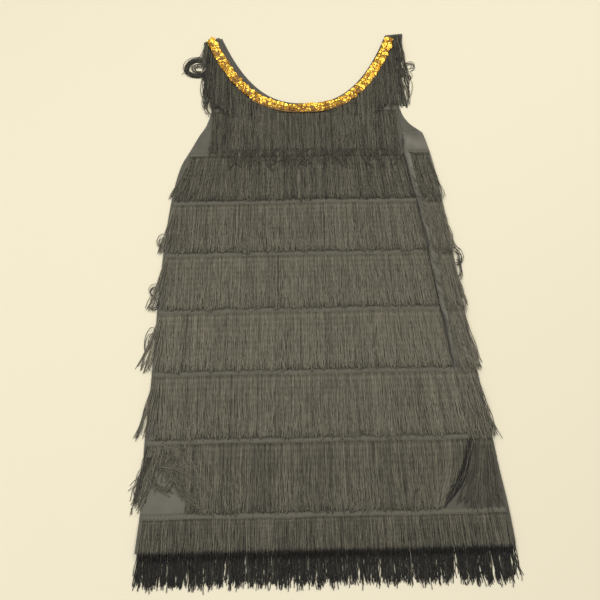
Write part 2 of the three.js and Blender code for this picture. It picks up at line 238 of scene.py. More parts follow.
braidFinish = {"dark": (0.05, 0.022, 0.006), "light": (0.22, 0.11, 0.02), "speckle": 300, "amount": 0.8}


def braidMaterial():
    # the dark gold net that the sequins are sewn to
    skin, nodes, links, shader = newMaterial("trimBraid")
    where = toneColour(nodes, links, shader, braidFinish)
    addBump(nodes, links, shader, ribs(nodes, links, where, "DIAGONAL", 0.0014, 1.0), 0.5, 0.0004)
    shader.inputs["Roughness"].default_value = 0.55
    return skin


# Mesh helpers

def smooth(low, high, value):
    t = np.clip((value - low) / (high - low), 0, 1)
    return t * t * (3 - 2 * t)


def lerp(a, b, t):
    return a + (b - a) * t


def easedCurve(table):
    # a curve through a short table, with no overshoot between its rows
    knots, values = (np.array(table[key], float) for key in ("y", "x"))
    step = np.diff(knots)
    slope = np.diff(values) / step
    grade = np.concatenate(([slope[0]], np.zeros(len(slope) - 1), [slope[-1]]))
    before, after = slope[:-1], slope[1:]
    steady = before * after > 0
    early, late = 2 * step[1:] + step[:-1], step[1:] + 2 * step[:-1]
    mean = (early + late)[steady] / (early[steady] / before[steady] + late[steady] / after[steady])
    grade[1:-1][steady] = mean

    def at(y):
        y = np.clip(y, knots[0], knots[-1])
        i = np.clip(np.searchsorted(knots, y, side="right") - 1, 0, len(step) - 1)
        t = (y - knots[i]) / step[i]
        start = values[i] * (1 + 2 * t) * (1 - t) ** 2 + values[i + 1] * t * t * (3 - 2 * t)
        return start + step[i] * (grade[i] * t * (1 - t) ** 2 - grade[i + 1] * t * t * (1 - t))

    return at


def meshObject(name, points, faces, skins, tone=None, skinOf=None, flat=False):
    # a mesh from points in millimetres, with an optional tone for each point
    mesh = bpy.data.meshes.new(name)
    mesh.from_pydata(np.asarray(points) * mm, [], faces)
    for skin in skins:
        mesh.materials.append(skin)
    if tone is not None:
        shades = mesh.attributes.new("tone", "FLOAT", "POINT").data
        shades.foreach_set("value", np.asarray(tone, np.float32))
    if skinOf is not None:
        mesh.polygons.foreach_set("material_index", np.asarray(skinOf, np.int32))
    mesh.update()
    if not flat:
        mesh.shade_smooth()
    piece = bpy.data.objects.new(name, mesh)
    bpy.context.collection.objects.link(piece)
    return piece


def applyModifier(piece, kind, **settings):
    bpy.ops.object.select_all(action="DESELECT")
    piece.select_set(True)
    bpy.context.view_layer.objects.active = piece
    modifier = piece.modifiers.new(kind.lower(), kind)
    for key, value in settings.items():
        setattr(modifier, key, value)
    bpy.ops.object.modifier_apply(modifier=modifier.name)


def copiesOf(model, turns, places, tone, name, skin):
    # joined copies of a modelled piece: turns (n,3,3), places (n,3) in millimetres
    source = model.data
    points = np.empty(len(source.vertices) * 3)
    source.vertices.foreach_get("co", points)
    points = points.reshape(-1, 3) / mm
    moved = np.einsum("nij,vj->nvi", turns, points) + places[:, None, :]
    faces = [np.array(p.vertices) for p in source.polygons]
    joined = []
    for k in range(len(places)):
        joined += [(f + k * len(points)).tolist() for f in faces]
    piece = meshObject(name, moved.reshape(-1, 3), joined, [skin], np.repeat(tone, len(points)))
    bpy.data.objects.remove(model)
    return piece


def strandTubes(paths, radius, tone, sides):
    # closed tubes along paths (n, p, 3); radius and tone are (n, p)
    n, p = paths.shape[:2]
    ahead = np.gradient(paths, axis=1)
    ahead /= np.linalg.norm(ahead, axis=2, keepdims=True)
    across = np.cross(ahead, np.array([0.22, 0.08, 0.97]))
    across /= np.linalg.norm(across, axis=2, keepdims=True)
    rise = np.cross(across, ahead)
    start = dice.uniform(0, 2 * np.pi, n)
    turn = start[:, None, None] + 0.5 * np.arange(p)[None, :, None] + 2 * np.pi * np.arange(sides) / sides
    outward = np.cos(turn)[..., None] * across[:, :, None] + np.sin(turn)[..., None] * rise[:, :, None]
    rings = paths[:, :, None] + radius[:, :, None, None] * outward
    at = np.arange(n * p * sides).reshape(n, p, sides)
    a, b = at[:, :-1], np.roll(at[:, :-1], -1, axis=2)
    d, c = at[:, 1:], np.roll(at[:, 1:], -1, axis=2)
    walls = np.stack([q.ravel() for q in (a, d, c, b)], axis=1).tolist()
    ends = at[:, 0].tolist() + at[:, -1, ::-1].tolist()
    return rings.reshape(-1, 3), walls + ends, np.repeat(tone.ravel(), sides)


def joinParts(name, parts, skins):
    # parts are (points, faces, tone, material number)
    points, faces, tone, skinOf, start = [], [], [], [], 0
    for where, sides, shade, skin in parts:
        points.append(np.asarray(where))
        faces += [[v + start for v in f] for f in sides]
        tone.append(np.asarray(shade))
        skinOf += [skin] * len(sides)
        start += len(where)
    return meshObject(name, np.concatenate(points), faces, skins, np.concatenate(tone), skinOf)


# The laid dress: edges from hem to shoulder, with the right side seam drawn in to the front

hemY, underarmY = -415, 228
tierY = [-370 + (8 - k) * 93.3 for k in range(1, 9)]  # top edge of each heading
leftEdge = easedCurve({
    "y": [-415, -370, -325, -280, -185, -90, 5, 100, 165, 198, 228, 250, 285, 325, 380, 440],
    "x": [-233, -231, -232, -233, -231, -231, -229, -223, -212, -198, -185, -174, -167, -168, -177, -188],
})
frontRight = easedCurve({
    "y": [-415, -370, -325, -280, -185, -90, 5, 100, 165, 198, 228, 262, 300, 340, 388, 456],
    "x": [226, 222, 211, 199, 188, 179, 171, 163, 153, 151, 153, 151, 153, 158, 167, 175],
})
backRight = easedCurve({
    "y": [-415, -370, -325, -280, -185, -90, 5, 100, 165, 198, 228, 247, 268, 300, 340, 388, 456],
    "x": [236, 234, 230, 227, 220, 215, 210, 205, 199, 194, 187, 169, 158, 153, 158, 167, 175],
})
frontNeck = {"centre": -8.5, "halfWidth": 151.5, "bottom": 294, "depth": 158, "power": 2.56}
backNeck = {"centre": -6, "halfWidth": 149, "bottom": 296, "depth": 156, "power": 2.56}

clothSet = {
    "wall": 0.9,  # thickness of the jersey
    "rest": 2.1,  # middle of the front's wall where it lies on the back
    "crown": 1.5,
    "hemLift": 2.5,
    "hemTurn": 18,
    "hemRadius": 0.65,
    "lattice": 7.0,
}
creases = [  # soft ridges and troughs of the front
    {"fromX": 203, "fromY": -278, "toX": 184, "toY": -330, "height": 5.5, "width": 20, "lee": 4.5},
    {"fromX": 190, "fromY": -318, "toX": 160, "toY": -352, "height": 5.0, "width": 17, "lee": 4.5},
    {"fromX": -178, "fromY": 236, "toX": -118, "toY": 198, "height": 2.2, "width": 15},
    {"fromX": -196, "fromY": 196, "toX": -140, "toY": 158, "height": 1.8, "width": 16},
    {"fromX": 118, "fromY": 262, "toX": 152, "toY": 214, "height": 2.0, "width": 14},
    {"fromX": -60, "fromY": 210, "toX": 30, "toY": 202, "height": 1.3, "width": 18},
    {"fromX": -205, "fromY": -60, "toX": -188, "toY": -200, "height": 1.4, "width": 22},
    {"fromX": 60, "fromY": -20, "toX": 84, "toY": -165, "height": 1.3, "width": 30},
    {"fromX": -90, "fromY": 60, "toX": -112, "toY": -80, "height": 1.2, "width": 34},
    {"fromX": -206, "fromY": -352, "toX": -184, "toY": -366, "height": 1.6, "width": 12},
]


def neckLine(neck, u):
    rise = neck["depth"] * np.abs(u) ** neck["power"]
    return neck["centre"] + neck["halfWidth"] * u, neck["bottom"] + rise


def neckOffset(neck, u, distance):
    # the neck's edge moved into the cloth
    (x0, y0), (x1, y1) = neckLine(neck, u - 1e-3), neckLine(neck, u + 1e-3)
    size = np.hypot(x1 - x0, y1 - y0)
    x, y = neckLine(neck, u)
    return x + distance * (y1 - y0) / size, y - distance * (x1 - x0) / size


def creaseHeight(x, y):
    total = np.zeros(np.broadcast(x, y).shape)
    for c in creases:
        length = math.hypot(c["toX"] - c["fromX"], c["toY"] - c["fromY"])
        dirX, dirY = (c["toX"] - c["fromX"]) / length, (c["toY"] - c["fromY"]) / length
        along = ((x - c["fromX"]) * dirX + (y - c["fromY"]) * dirY) / length
        aside = (y - c["fromY"]) * dirX - (x - c["fromX"]) * dirY
        aside = aside / np.where(aside < 0, c.get("lee", c["width"]), c["width"])
        total += c["height"] * np.exp(-aside**2) * smooth(-0.2, 0.3, along) * smooth(1.2, 0.7, along)
    return total


def wobble(x, y):
    # the slight unevenness of cloth laid by hand
    waves = np.sin(x / 41 + y / 90 + 0.4) + np.sin(x / 27 - y / 66 + 2.0) + np.sin(x / 70 + y / 38 + 4.1)
    return 0.28 * (waves + 1.5)


def frontMiddle(x, y):
    s = clothSet
    left, right = leftEdge(y), frontRight(y)
    u = np.clip((2 * x - left - right) / (right - left), -1, 1)
    rise = s["crown"] * (1 - u * u) * (1 - smooth(underarmY - 60, underarmY + 120, y))
    lift = s["hemLift"] * smooth(hemY + s["hemTurn"] + 40, hemY + s["hemTurn"], y)
    inside = 1 - u**8
    return s["rest"] + rise + lift + np.maximum(inside * (creaseHeight(x, y) + wobble(x, y)), -0.4)


def frontTop(x, y):
    return frontMiddle(x, y) + clothSet["wall"] / 2


# The back turns over at the right side and comes up to the seam as a rolled ridge

backMiddle = clothSet["wall"] / 2 + 0.15
foldSet = {"radius": 1.9, "inset": 2.5, "arc": 6.0, "rollLength": 16}
ridgeSet = {
    "height": 7.2,
    "crestAt": 8.0,
    "spread": 7.0,
    "rollWide": 5.6,
    "rollHigh": 4.0,
    "from": -196,
    "full": -128,
    # paler: painted highlight along the rolled seam
    "paler": 0.42,
}


def foldLine(y):
    return backRight(y) - foldSet["inset"]


def ridgeShare(y):
    # how far the seam is rolled: fully above, fading out towards the hem, and uneven along its length
    uneven = 0.95 + 0.14 * np.sin(y / 17.0) + 0.10 * np.sin(y / 6.5 + 1.3)
    for top in tierY:  # each heading pinches it
        uneven = uneven - 0.34 * np.exp(-(((y - top + 3) / 9) ** 2))
    return smooth(ridgeSet["from"], ridgeSet["full"], y) * smooth(underarmY + 4, underarmY - 30, y) * uneven


def crestOffset(y):
    return ridgeSet["crestAt"] + 1.5 * np.sin(y / 27 + 0.6) + 0.8 * np.sin(y / 10.5)


def returnMiddle(offset, y):
    # the turned-over strip's wall, by distance from the seam
    width = foldLine(y) - frontRight(y)
    atSeam, atFold = frontMiddle(frontRight(y), y), backMiddle + 2 * foldSet["radius"]
    low = lerp(atSeam, atFold, np.clip(offset / width, 0, 1))
    bump = np.exp(-((offset - crestOffset(y)) / ridgeSet["spread"]) ** 2)
    dents = 0.5 * np.sin(y / 5.5 + offset / 6) + 0.35 * np.sin(y / 13 + 1.7 - offset / 9)
    dents = dents * smooth(0, 8, offset) * smooth(width, width - 8, offset)
    return low + ridgeSet["height"] * ridgeShare(y) * bump + dents


def turnedLength(y):
    s = foldSet
    return s["arc"] + foldLine(y) - frontRight(y) + s["rollLength"] * np.clip(ridgeShare(y), 0, 1)


def turnedPoint(past, y):
    # past is the distance round the fold, from the right side back towards the seam
    s, r = foldSet, ridgeSet
    fold, seam = foldLine(y), frontRight(y)
    angle = np.pi * np.clip(past / s["arc"], 0, 1) - np.pi / 2
    arcX = fold + s["radius"] * np.cos(angle)
    arcZ = backMiddle + s["radius"] * (1 + np.sin(angle))
    rolled = np.clip(ridgeShare(y), 0, 1)
    v = np.clip((past - s["arc"]) / (turnedLength(y) - s["arc"]), 0, 1)
    flankEnd = lerp(1.0, 0.6, rolled)
    offset = lerp(fold - seam, lerp(0.15, crestOffset(y), rolled), np.clip(v / flankEnd, 0, 1))
    angle = np.radians(90 + 165 * np.clip((v - flankEnd) / (1.001 - flankEnd), 0, 1))
    height = returnMiddle(offset, y) + rolled * r["rollHigh"] * (np.sin(angle) - 1)
    offset = offset + rolled * r["rollWide"] * np.cos(angle)
    onArc = past < s["arc"]
    return np.where(onArc, arcX, seam + offset), np.where(onArc, arcZ, height)


def insideOutline(points, outline):
    x, y = points[:, :1], points[:, 1:]
    ax, ay = outline[:, 0], outline[:, 1]
    bx, by = np.roll(ax, -1), np.roll(ay, -1)
    crosses = (ay > y) != (by > y)
    with np.errstate(divide="ignore", invalid="ignore"):
        at = ax + (y - ay) * (bx - ax) / (by - ay)
    return (crosses & (x < at)).sum(axis=1) % 2 == 1


def cutCloth(outline, spacing, extra):
    # a cut piece: its outline filled with an even lattice of points
    low, high = outline.min(axis=0), outline.max(axis=0)
    rows = np.arange(low[1] + spacing / 2, high[1], spacing * 0.866)
    lattice = []
    for k, y in enumerate(rows):
        xs = np.arange(low[0] + (k % 2) * spacing / 2, high[0], spacing)
        lattice.append(np.stack([xs, np.full(len(xs), y)], axis=1))
    lattice = np.concatenate(lattice + extra)
    lattice = lattice[insideOutline(lattice, outline)]
    apart = np.full(len(lattice), 1e9)
    for corner in outline:
        apart = np.minimum(apart, np.hypot(*(lattice - corner).T))
    lattice = lattice[apart > 1.1]
    points = np.concatenate([outline, lattice])
    made = delaunay_2d_cdt([tuple(p) for p in points], [], [list(range(len(outline)))], 1, 1e-4)
    return np.array([tuple(v) for v in made[0]]), [list(f) for f in made[2]]


def turnedHem(y, sign):
    # cloth below the hem line goes round and back under itself
    r = clothSet["hemRadius"]
    past = np.maximum(hemY - y, 0)
    angle = np.minimum(past / r, np.pi)
    back = np.maximum(past - np.pi * r, 0)
    return np.maximum(y, hemY) - r * np.sin(angle) + back, sign * r * (1 - np.cos(angle))


def rowsOf(low, high, spacing):
    return np.linspace(low, high, max(3, int((high - low) / spacing)))


def clothOutline(rightSide, rightTop, neck):
    # the cut from the hem allowance round to the shoulders
    spacing = 5
    foot = hemY - clothSet["hemTurn"] - math.pi * clothSet["hemRadius"]
    leftUp, rightUp = rowsOf(hemY, 440, spacing), rowsOf(hemY, rightTop, spacing)
    around = np.linspace(1, -1, 90)
    bottom = np.linspace(leftEdge(hemY) + 2, rightSide(hemY) - 2, 94)
    return np.concatenate([
        np.stack([bottom, np.full(94, foot)], axis=1),
        np.stack([rightSide(rightUp), rightUp], axis=1),
        np.stack(neckLine(neck, around), axis=1),
        np.stack([leftEdge(leftUp[::-1]), leftUp[::-1]], axis=1),
    ])


def hemRows(low, high):
    xs = np.arange(low, high, 5)
    steps = hemY - np.linspace(0, math.pi * clothSet["hemRadius"], 5)
    return [np.stack([xs, np.full(len(xs), y)], axis=1) for y in steps]


def clothTone(x, y):
    # lighter at the lower left, where strands are pushed aside, darker towards the neck and a little darker
    # towards the right
    lighterPatch = 0.2 * np.exp(-(((x + 195) / 60) ** 2) - (((y + 345) / 60) ** 2))
    return 0.24 + lighterPatch - 0.13 * smooth(230, 330, y) - 0.05 * smooth(120, 220, x)


def makeFrontCloth(skin):
    outline = clothOutline(frontRight, 456, frontNeck)
    points, faces = cutCloth(outline, clothSet["lattice"], hemRows(-228, 222))
    x = points[:, 0]
    y, under = turnedHem(points[:, 1], -1)
    laid = np.stack([x, y, frontMiddle(x, y) + under], axis=1)
    piece = meshObject("frontCloth", laid, faces, [skin], clothTone(x, y))
    applyModifier(piece, "SOLIDIFY", thickness=clothSet["wall"] * mm, offset=0)
    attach(piece, "root")
    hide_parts("front_panel")
    return piece, outline


def makeBackCloth(skin):
    s = clothSet
    flat = clothOutline(backRight, 456, backNeck)
    allowance = flat[(flat[:, 1] < hemY) & (flat[:, 0] < foldLine(hemY) - 8)]
    strip = rowsOf(hemY, underarmY, 5)
    shoulder = flat[len(flat) - 90 - len(rowsOf(hemY, 440, 5)):]
    armhole = rowsOf(underarmY + 4, 456, 5)
    outline = np.concatenate([
        allowance,
        [[foldLine(hemY) - 6, hemY]],
        np.stack([foldLine(strip) + turnedLength(strip), strip], axis=1),
        [[foldLine(underarmY) + 14, underarmY], [foldLine(underarmY) + 3, underarmY]],
        np.stack([backRight(armhole), armhole], axis=1),
        shoulder,
    ])
    extra = []
    for past in (0.5, 1.5, 3, 4.5, 5.8, 8, 12, 17, 22, 26, 30, 33, 36, 39, 42):
        ys = rowsOf(hemY + 3, underarmY - 3, 6)
        extra.append(np.stack([foldLine(ys) + past, ys], axis=1)[past < turnedLength(ys) - 1])
    points, faces = cutCloth(outline, s["lattice"], hemRows(-228, foldLine(hemY) - 9) + extra)
    across = points[:, 0]
    y, over = turnedHem(points[:, 1], 1)
    past = across - foldLine(y)
    turned = (past > 0) & (y <= underarmY + 0.6)
    turnX, turnZ = turnedPoint(np.maximum(past, 0), y)
    x = np.where(turned, turnX, across)
    z = np.where(turned, turnZ, backMiddle + over)
    ridgeHighlight = ridgeSet["paler"] * np.clip(ridgeShare(y), 0, 1) * turned  # painted highlight: paler along the rolled seam, where the roll stands up into the light
    piece = meshObject("backCloth", np.stack([x, y, z], axis=1), faces, [skin], clothTone(x, y) + ridgeHighlight)
    applyModifier(piece, "SOLIDIFY", thickness=s["wall"] * mm, offset=0)
    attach(piece, "root")
    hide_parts("back_panel")
    return piece, outline


# Fringe: knitted headings in eight tiers, with loose strands below them

tapeSet = {
    "height": 8,
    "thickness": 1.1,
    "lift": 0.3,
    "rib": 1.7,
    "ribDepth": 0.16,
    "column": 0.85,
    "stitch": 4.6,
}
fringeSet = {
    "length": 89,
    "rootDrop": 5.5,
    "layers": 3,
    "spacing": 1.2,
    "layerRise": 0.6,
    "radius": 0.56,
    "points": 12,
    "ragged": 0.018,
    "clump": 6.5,
    "gather": 0.12,
    "lean": 0.9,
    "wave": 1.3,
    "sides": 3,
    "inset": 2.5,
}
leftSlide = [3, 8, 18, 23, 25, 19, 20, 6]  # how far the end strands have slid off the left side
rowPaintedLight = [-0.12, -0.08, 0.15, 0.23, 0.28, 0.21, 0.03, -0.08]  # painted light: each row lighter or darker by how light and sheen fall on it, lightest in the middle rows
toneLimits = (-0.3, 0.95)
rightSlide = {2: 8, 3: 10, 4: 13, 5: 12, 6: 13, 7: 5}


def tapeBump(y, top):
    # height of the next heading that the ends of a row reach
    return 1.35 * smooth(top + 7, top + 1, y) * smooth(top - 14, top - 9, y)


def outsideFall(x, y):
    # how far a strand has come down to the table beside or below the dress
    aside = np.maximum(leftEdge(y) - x, 0)
    below = np.maximum(hemY - y, 0)
    return np.maximum(smooth(0.5, 11, aside), smooth(0.8, 9, below))


def laySurface(x, y):
    left = leftEdge(y)
    inside = frontTop(np.clip(x, left, frontRight(y)), np.maximum(y, hemY))
    return lerp(inside, 0, outsideFall(x, y))


def wholeSurface(x, y):
    # front and turned-over strip together, for the row at the hem
    strip = returnSurface(x, np.maximum(y, hemY)) * (1 - smooth(0.8, 9, hemY - y))
    return np.where(x > frontRight(y), strip, laySurface(x, y))


def returnSurface(x, y):
    # the turned-over strip at the right side, and the table beyond it
    seam, fold = frontRight(y), foldLine(y)
    top = returnMiddle(np.clip(x - seam, 0, fold - seam), y) + clothSet["wall"] / 2
    return lerp(top, 0, smooth(1.0, 10, x - fold - 1.5))


def clumpValues(rootX, width):
    # neighbouring strands share a clump of uneven width
    drift = 0.32 * width * np.sin(rootX / (width * 2.3))
    warped = rootX + drift + 0.2 * width * np.sin(rootX / (width * 0.93))
    number = np.floor(warped / width).astype(int)
    number -= number.min()
    count = number.max() + 1
    total = np.maximum(np.bincount(number, minlength=count), 1)
    centre = np.bincount(number, rootX, minlength=count) / total
    return number, centre[number], count


def combedStrands(rootX, rootY, length, s, surface, sweep=0, bump=None, bend=0):
    # strands that hang from a heading, each with its own end, lean and wave
    n, p = len(rootX), s["points"]
    t = np.append(np.linspace(0, 0.985, p - 1), 1)[None, :]
    number, centre, count = clumpValues(rootX, s["clump"])
    lean = (dice.normal(0, 0.6 * s["lean"], count)[number] + dice.normal(0, 0.6 * s["lean"], n))[:, None]
    phase = (dice.uniform(0, 2 * np.pi, count)[number] + dice.normal(0, 0.7, n))[:, None]
    turns = (dice.uniform(0.8, 2.3, count)[number] + dice.uniform(0, 1.2, n))[:, None]
    uneven = 1 + dice.normal(0, 0.012, count)[number] + dice.normal(0, s["ragged"], n)
    reach = np.broadcast_to(length, (n,)) * (uneven - 0.08 * dice.random(n) ** 4)
    gather = (s["gather"] * (centre - rootX))[:, None] * dice.uniform(0.6, 1.2, (n, 1))
    wave = np.broadcast_to(s["wave"], (n,))[:, None] * dice.uniform(0.4, 1.4, (n, 1))
    sweep = np.broadcast_to(sweep, (n,))[:, None] * dice.uniform(0.6, 1.2, (n, 1))
    bend = np.broadcast_to(bend, (n,))[:, None]
    aside = gather * t**1.5 + lean * t**1.7 + sweep * t**1.25 + bend * t**2.4
    aside = aside + wave * t * np.sin(2 * np.pi * turns * t + phase)
    x = rootX[:, None] + aside
    drop = np.sqrt(np.maximum(1 - (aside[:, -1:] / reach[:, None]) ** 2, 0.3))
    y = rootY - reach[:, None] * drop * t
    layer = dice.permutation(n) % s["layers"]
    rise = s["radius"] + 0.1 + s["layerRise"] * layer[:, None] * smooth(0, 0.16, t) * (1 - 0.5 * t**2)
    rise = rise + 0.35 * (1 - smooth(0, 0.12, t)) + 0.22 * dice.normal(0, 1, (n, 1)) ** 2 * t * (1 - t)
    z = surface(x, y) + rise
    if bump is not None:
        z = z + tapeBump(y, bump)
    z = np.maximum(z, s["radius"] * 0.9)
    radius = s["radius"] * dice.uniform(0.82, 1.15, (n, 1)) * (1 - 0.4 * smooth(0.98, 1, t))
    tone = 0.27 + dice.normal(0, 0.035, count)[number][:, None] + dice.normal(0, 0.16, (n, 1))
    # painted shade: strands of the lower layers are darker, under the strands above them
    tone = tone + 0.07 * layer[:, None]
    beat = np.sin(2 * np.pi * dice.uniform(0.6, 2.6, (n, 1)) * t + dice.uniform(0, 2 * np.pi, (n, 1)))
    # painted shade: darker near the heading, where the strands come out from under it, and towards the
    # ends, in the gap above the next heading; the beat is a random tone along each strand
    tone = tone - 0.15 * (1 - smooth(0, 0.10, t)) + 0.12 * beat - 0.12 * smooth(0.9, 1, t)
    return np.stack([x, y, z], axis=2), radius, np.clip(tone, *toneLimits)


def strandPart(paths, radius, tone, s):
    return (*strandTubes(paths, radius, np.clip(tone, *toneLimits), s["sides"]), 0)


def tapeSag(x, top):
    return 0.5 * np.sin(x / 31 + top) + 0.35 * np.sin(x / 12 + 0.3 * top)


def tapeParts(left, right, top, surface, s):
    # a ribbed band across the dress, with its stitches
    columns = np.linspace(left, right, max(4, int((right - left) / s["column"])))
    section = np.array([(0, 0.1), (0.2, 0.75), (1.2, 1.0), (4, 1.04), (6.8, 1.0), (7.8, 0.75), (8, 0.1)])
    sag = tapeSag(columns, top)
    rib = s["ribDepth"] * np.cos(2 * np.pi * columns / s["rib"]) * (1 + 0.3 * np.sin(columns / 7))
    y = top + sag[:, None] - section[None, :, 0] * s["height"] / 8
    x = np.broadcast_to(columns[:, None], y.shape)
    z = surface(x, y) + s["lift"] + section[None, :, 1] * (s["thickness"] + rib[:, None])
    n, m = y.shape
    at = np.arange(n * m).reshape(n, m)
    around = np.roll(at, -1, axis=1)
    walls = np.stack([q.ravel() for q in (at[:-1], around[:-1], around[1:], at[1:])], axis=1).tolist()
    ends = [at[0, ::-1].tolist(), at[-1].tolist()]
    # painted light: lighter on the raised ribs, and painted shade at the low edges of the band where it
    # meets the cloth
    tone = 0.26 + 0.3 * rib[:, None] / s["ribDepth"] * np.ones((1, m)) - 0.2 * (section[None, :, 1] < 0.5)
    band = (np.stack([x, y, z], axis=2).reshape(-1, 3), walls + ends, np.clip(tone, 0, 1).ravel(), 1)
    parts = [band]
    for share in (0.2, 0.72):
        at = np.arange(left + 2, right - 3, s["stitch"])
        at = at + dice.normal(0, 0.3, len(at))
        step = np.array([-1.4, 0, 1.4])[None, :]
        x = at[:, None] + step
        y = top - share * s["height"] + tapeSag(x, top) + dice.normal(0, 0.12, (len(at), 1))
        z = surface(x, y) + s["lift"] + s["thickness"] + np.array([-0.12, 0.2, -0.12])[None, :]
        thread, shade = np.full(x.shape, 0.24), np.full(x.shape, 0.5)
        points, faces, tone = strandTubes(np.stack([x, y, z], axis=2), thread, shade, 4)
        parts.append((points, faces, tone, 2))
    return parts


def rootPlaces(left, right, s):
    # one place along the heading for every strand of every layer
    every = np.arange(left, right, s["spacing"] / s["layers"])
    return every + dice.normal(0, 0.18, len(every))


def edgeSweep(roots, top, k):
    # how far the strands near the sides have moved outwards by their ends
    left, right = leftEdge(top), frontRight(top)
    foot = np.maximum(top - 88, hemY)
    inward = roots - left - fringeSet["inset"]
    sweep = -leftSlide[k - 1] * smooth(10, 4, inward) + 2 * np.exp(-(((inward - 13) / 6) ** 2))
    if k == 2:
        sweep = sweep + (leftEdge(foot) - left) * smooth(0.2, 0.0, inward / (right - left))
    if k == 7:
        return sweep
    return sweep + (frontRight(foot) - right) * smooth(0.28, 0.0, (right - roots) / (right - left))


rowChanges = {  # the first row is longest and most ragged, and the last hangs over the hem
    1: {"length": 99, "clump": 9.5, "lean": 2.0, "wave": 1.5, "gather": 0.3, "points": 14, "ragged": 0.05},
    8: {"length": 77, "clump": 8, "lean": 2.6, "gather": 0.3, "points": 16, "ragged": 0.05},
}
partedSet = {"slidFrom": -208, "slidShare": 0.5, "pushed": (-170, -188), "creaseFrom": 140, "end": 197}


def makeFrontFringe(k, skins):
    s = dict(fringeSet)
    top = tierY[k - 1]
    left, right, surface = leftEdge(top) + s["inset"], frontRight(top) + 1, laySurface
    s.update(rowChanges.get(k, {}))
    if k == 8:
        right, surface = foldLine(top) - 0.5, wholeSurface
    if k == 1:
        right -= 4
    length = s["length"]
    roots = rootPlaces(left + 1, right - 0.5, s)
    sweep, bend = edgeSweep(roots, top, k), 0
    if k == 7:  # pushed aside near the lower left corner, and drawn along a crease at the right
        p = partedSet
        keep = roots < p["end"]
        roots, sweep = roots[keep], sweep[keep]
        n = len(roots)
        slid = (roots < p["slidFrom"]) & (dice.random(n) < p["slidShare"])
        pushed = smooth(*p["pushed"], roots) * ~slid
        slidLength = dice.uniform(0.66, 1.0, n)
        length = length * np.where(slid, slidLength, 1 - pushed * dice.uniform(0.26, 0.5, n))
        s["wave"] = s["wave"] + 2.8 * pushed + 1.2 * slid
        outward = -15 - 0.6 * (roots + 229) + dice.normal(0, 2.5, n)
        sweep = np.where(slid, outward, pushed * dice.normal(14, 15, n))
        bend = pushed * dice.normal(10, 10, n) - 0.72 * np.maximum(roots - p["creaseFrom"], 0)
    below = tierY[k] if k < 8 else None
    paths, radius, tone = combedStrands(roots, top - s["rootDrop"], length, s, surface, sweep, below, bend)
    tone = tone + rowPaintedLight[k - 1]
    if k == 7:  # in the shadow of the crease
        t = np.linspace(0, 1, s["points"])[None, :]
        tone = tone - 0.75 * smooth(190 - 18 * t, 194 - 9 * t, roots[:, None]) * smooth(1.0, 0.8, t)
    if 1 < k < 6:  # and of the rolled seam
        tone = tone - 0.26 * smooth(10, 1, right - roots)[:, None]
    if k == 8:  # painted shade where the row turns down over the hem to the table, a little less dark further out on the table
        y = paths[:, :, 1]
        tone = tone - 0.72 * smooth(hemY + 2, hemY - 2, y) + 0.1 * smooth(hemY - 12, hemY - 26, y)
    parts = [strandPart(paths, radius, tone, s)]
    if k == 1:
        parts += yokeStrands(s)
    parts += tapeParts(left, right - 1, top, surface, tapeSet)
    return finishFringe(f"fringeTier{k}", parts, skins, f"front_fringe_{k}")


yokeSet = {"from": 0.28, "to": 0.985, "length": 72, "drop": 3}


def yokeStrands(s):
    # strands that come from under the neck trim, either side of the middle
    parts = []
    for sign in (-1, 1):
        u = sign * np.linspace(yokeSet["from"], yokeSet["to"], 400)
        x, y = neckOffset(frontNeck, u, trimInset(u) + trimSet["width"] - yokeSet["drop"])
        order = np.argsort(x)
        roots = rootPlaces(x.min(), x.max(), s)
        roots = np.concatenate([roots, roots[np.abs(roots) > 120] + 0.3])
        rootY = np.interp(roots, x[order], y[order])
        length = yokeSet["length"] + 0.25 * (rootY - 290)
        out = np.abs(roots)
        sweep = sign * 4 * (smooth(150, 175, out) - smooth(60, 120, out) * smooth(160, 130, out))
        paths, radius, tone = combedStrands(roots, rootY[:, None], length, s, strapSurface, sweep)
        over = smooth(292, 284, paths[:, :, 1]) * smooth(262, 272, paths[:, :, 1])
        paths[:, :, 2] += 0.4 + 1.3 * over
        tone = tone + rowPaintedLight[0] - 0.03 - 0.2 * smooth(95, 150, out)[:, None]
        parts.append(strandPart(paths, radius, tone, s))
    return parts


def makeReturnFringe(k, skins):
    s = dict(fringeSet, lean=2.6, wave=1.9, ragged=0.05)
    top = tierY[k - 1]
    seam, fold = frontRight(top), foldLine(top)
    start = seam + (1.5 if k > 5 else crestOffset(top) + 2)
    roots = rootPlaces(start, fold - 0.5, s)
    share = np.clip((roots - start) / (fold - start), 0, 1)
    foot = top - 86
    along = lerp(frontRight(foot) - seam, foldLine(foot) - fold, share)
    sweep = rightSlide[k] * (0.1 + 0.9 * share**1.5) + along
    if k == 7:  # fanned over the plain cloth beside the crease
        sweep = lerp(-40, 7, share**0.8)
    length, rootY = 93 if k < 7 else 88, top - s["rootDrop"]
    paths, radius, tone = combedStrands(roots, rootY, length, s, wholeSurface, sweep, tierY[k])
    if k == 7:
        tone = lerp(tone, 0.12, 0.6)
    parts = [strandPart(paths, radius, tone + rowPaintedLight[k - 1] - 0.04, s)]
    parts += tapeParts(start - 1, fold, top, returnSurface, tapeSet)
    return finishFringe(f"fringeReturn{k}", parts, skins, f"back_fringe_{k}")


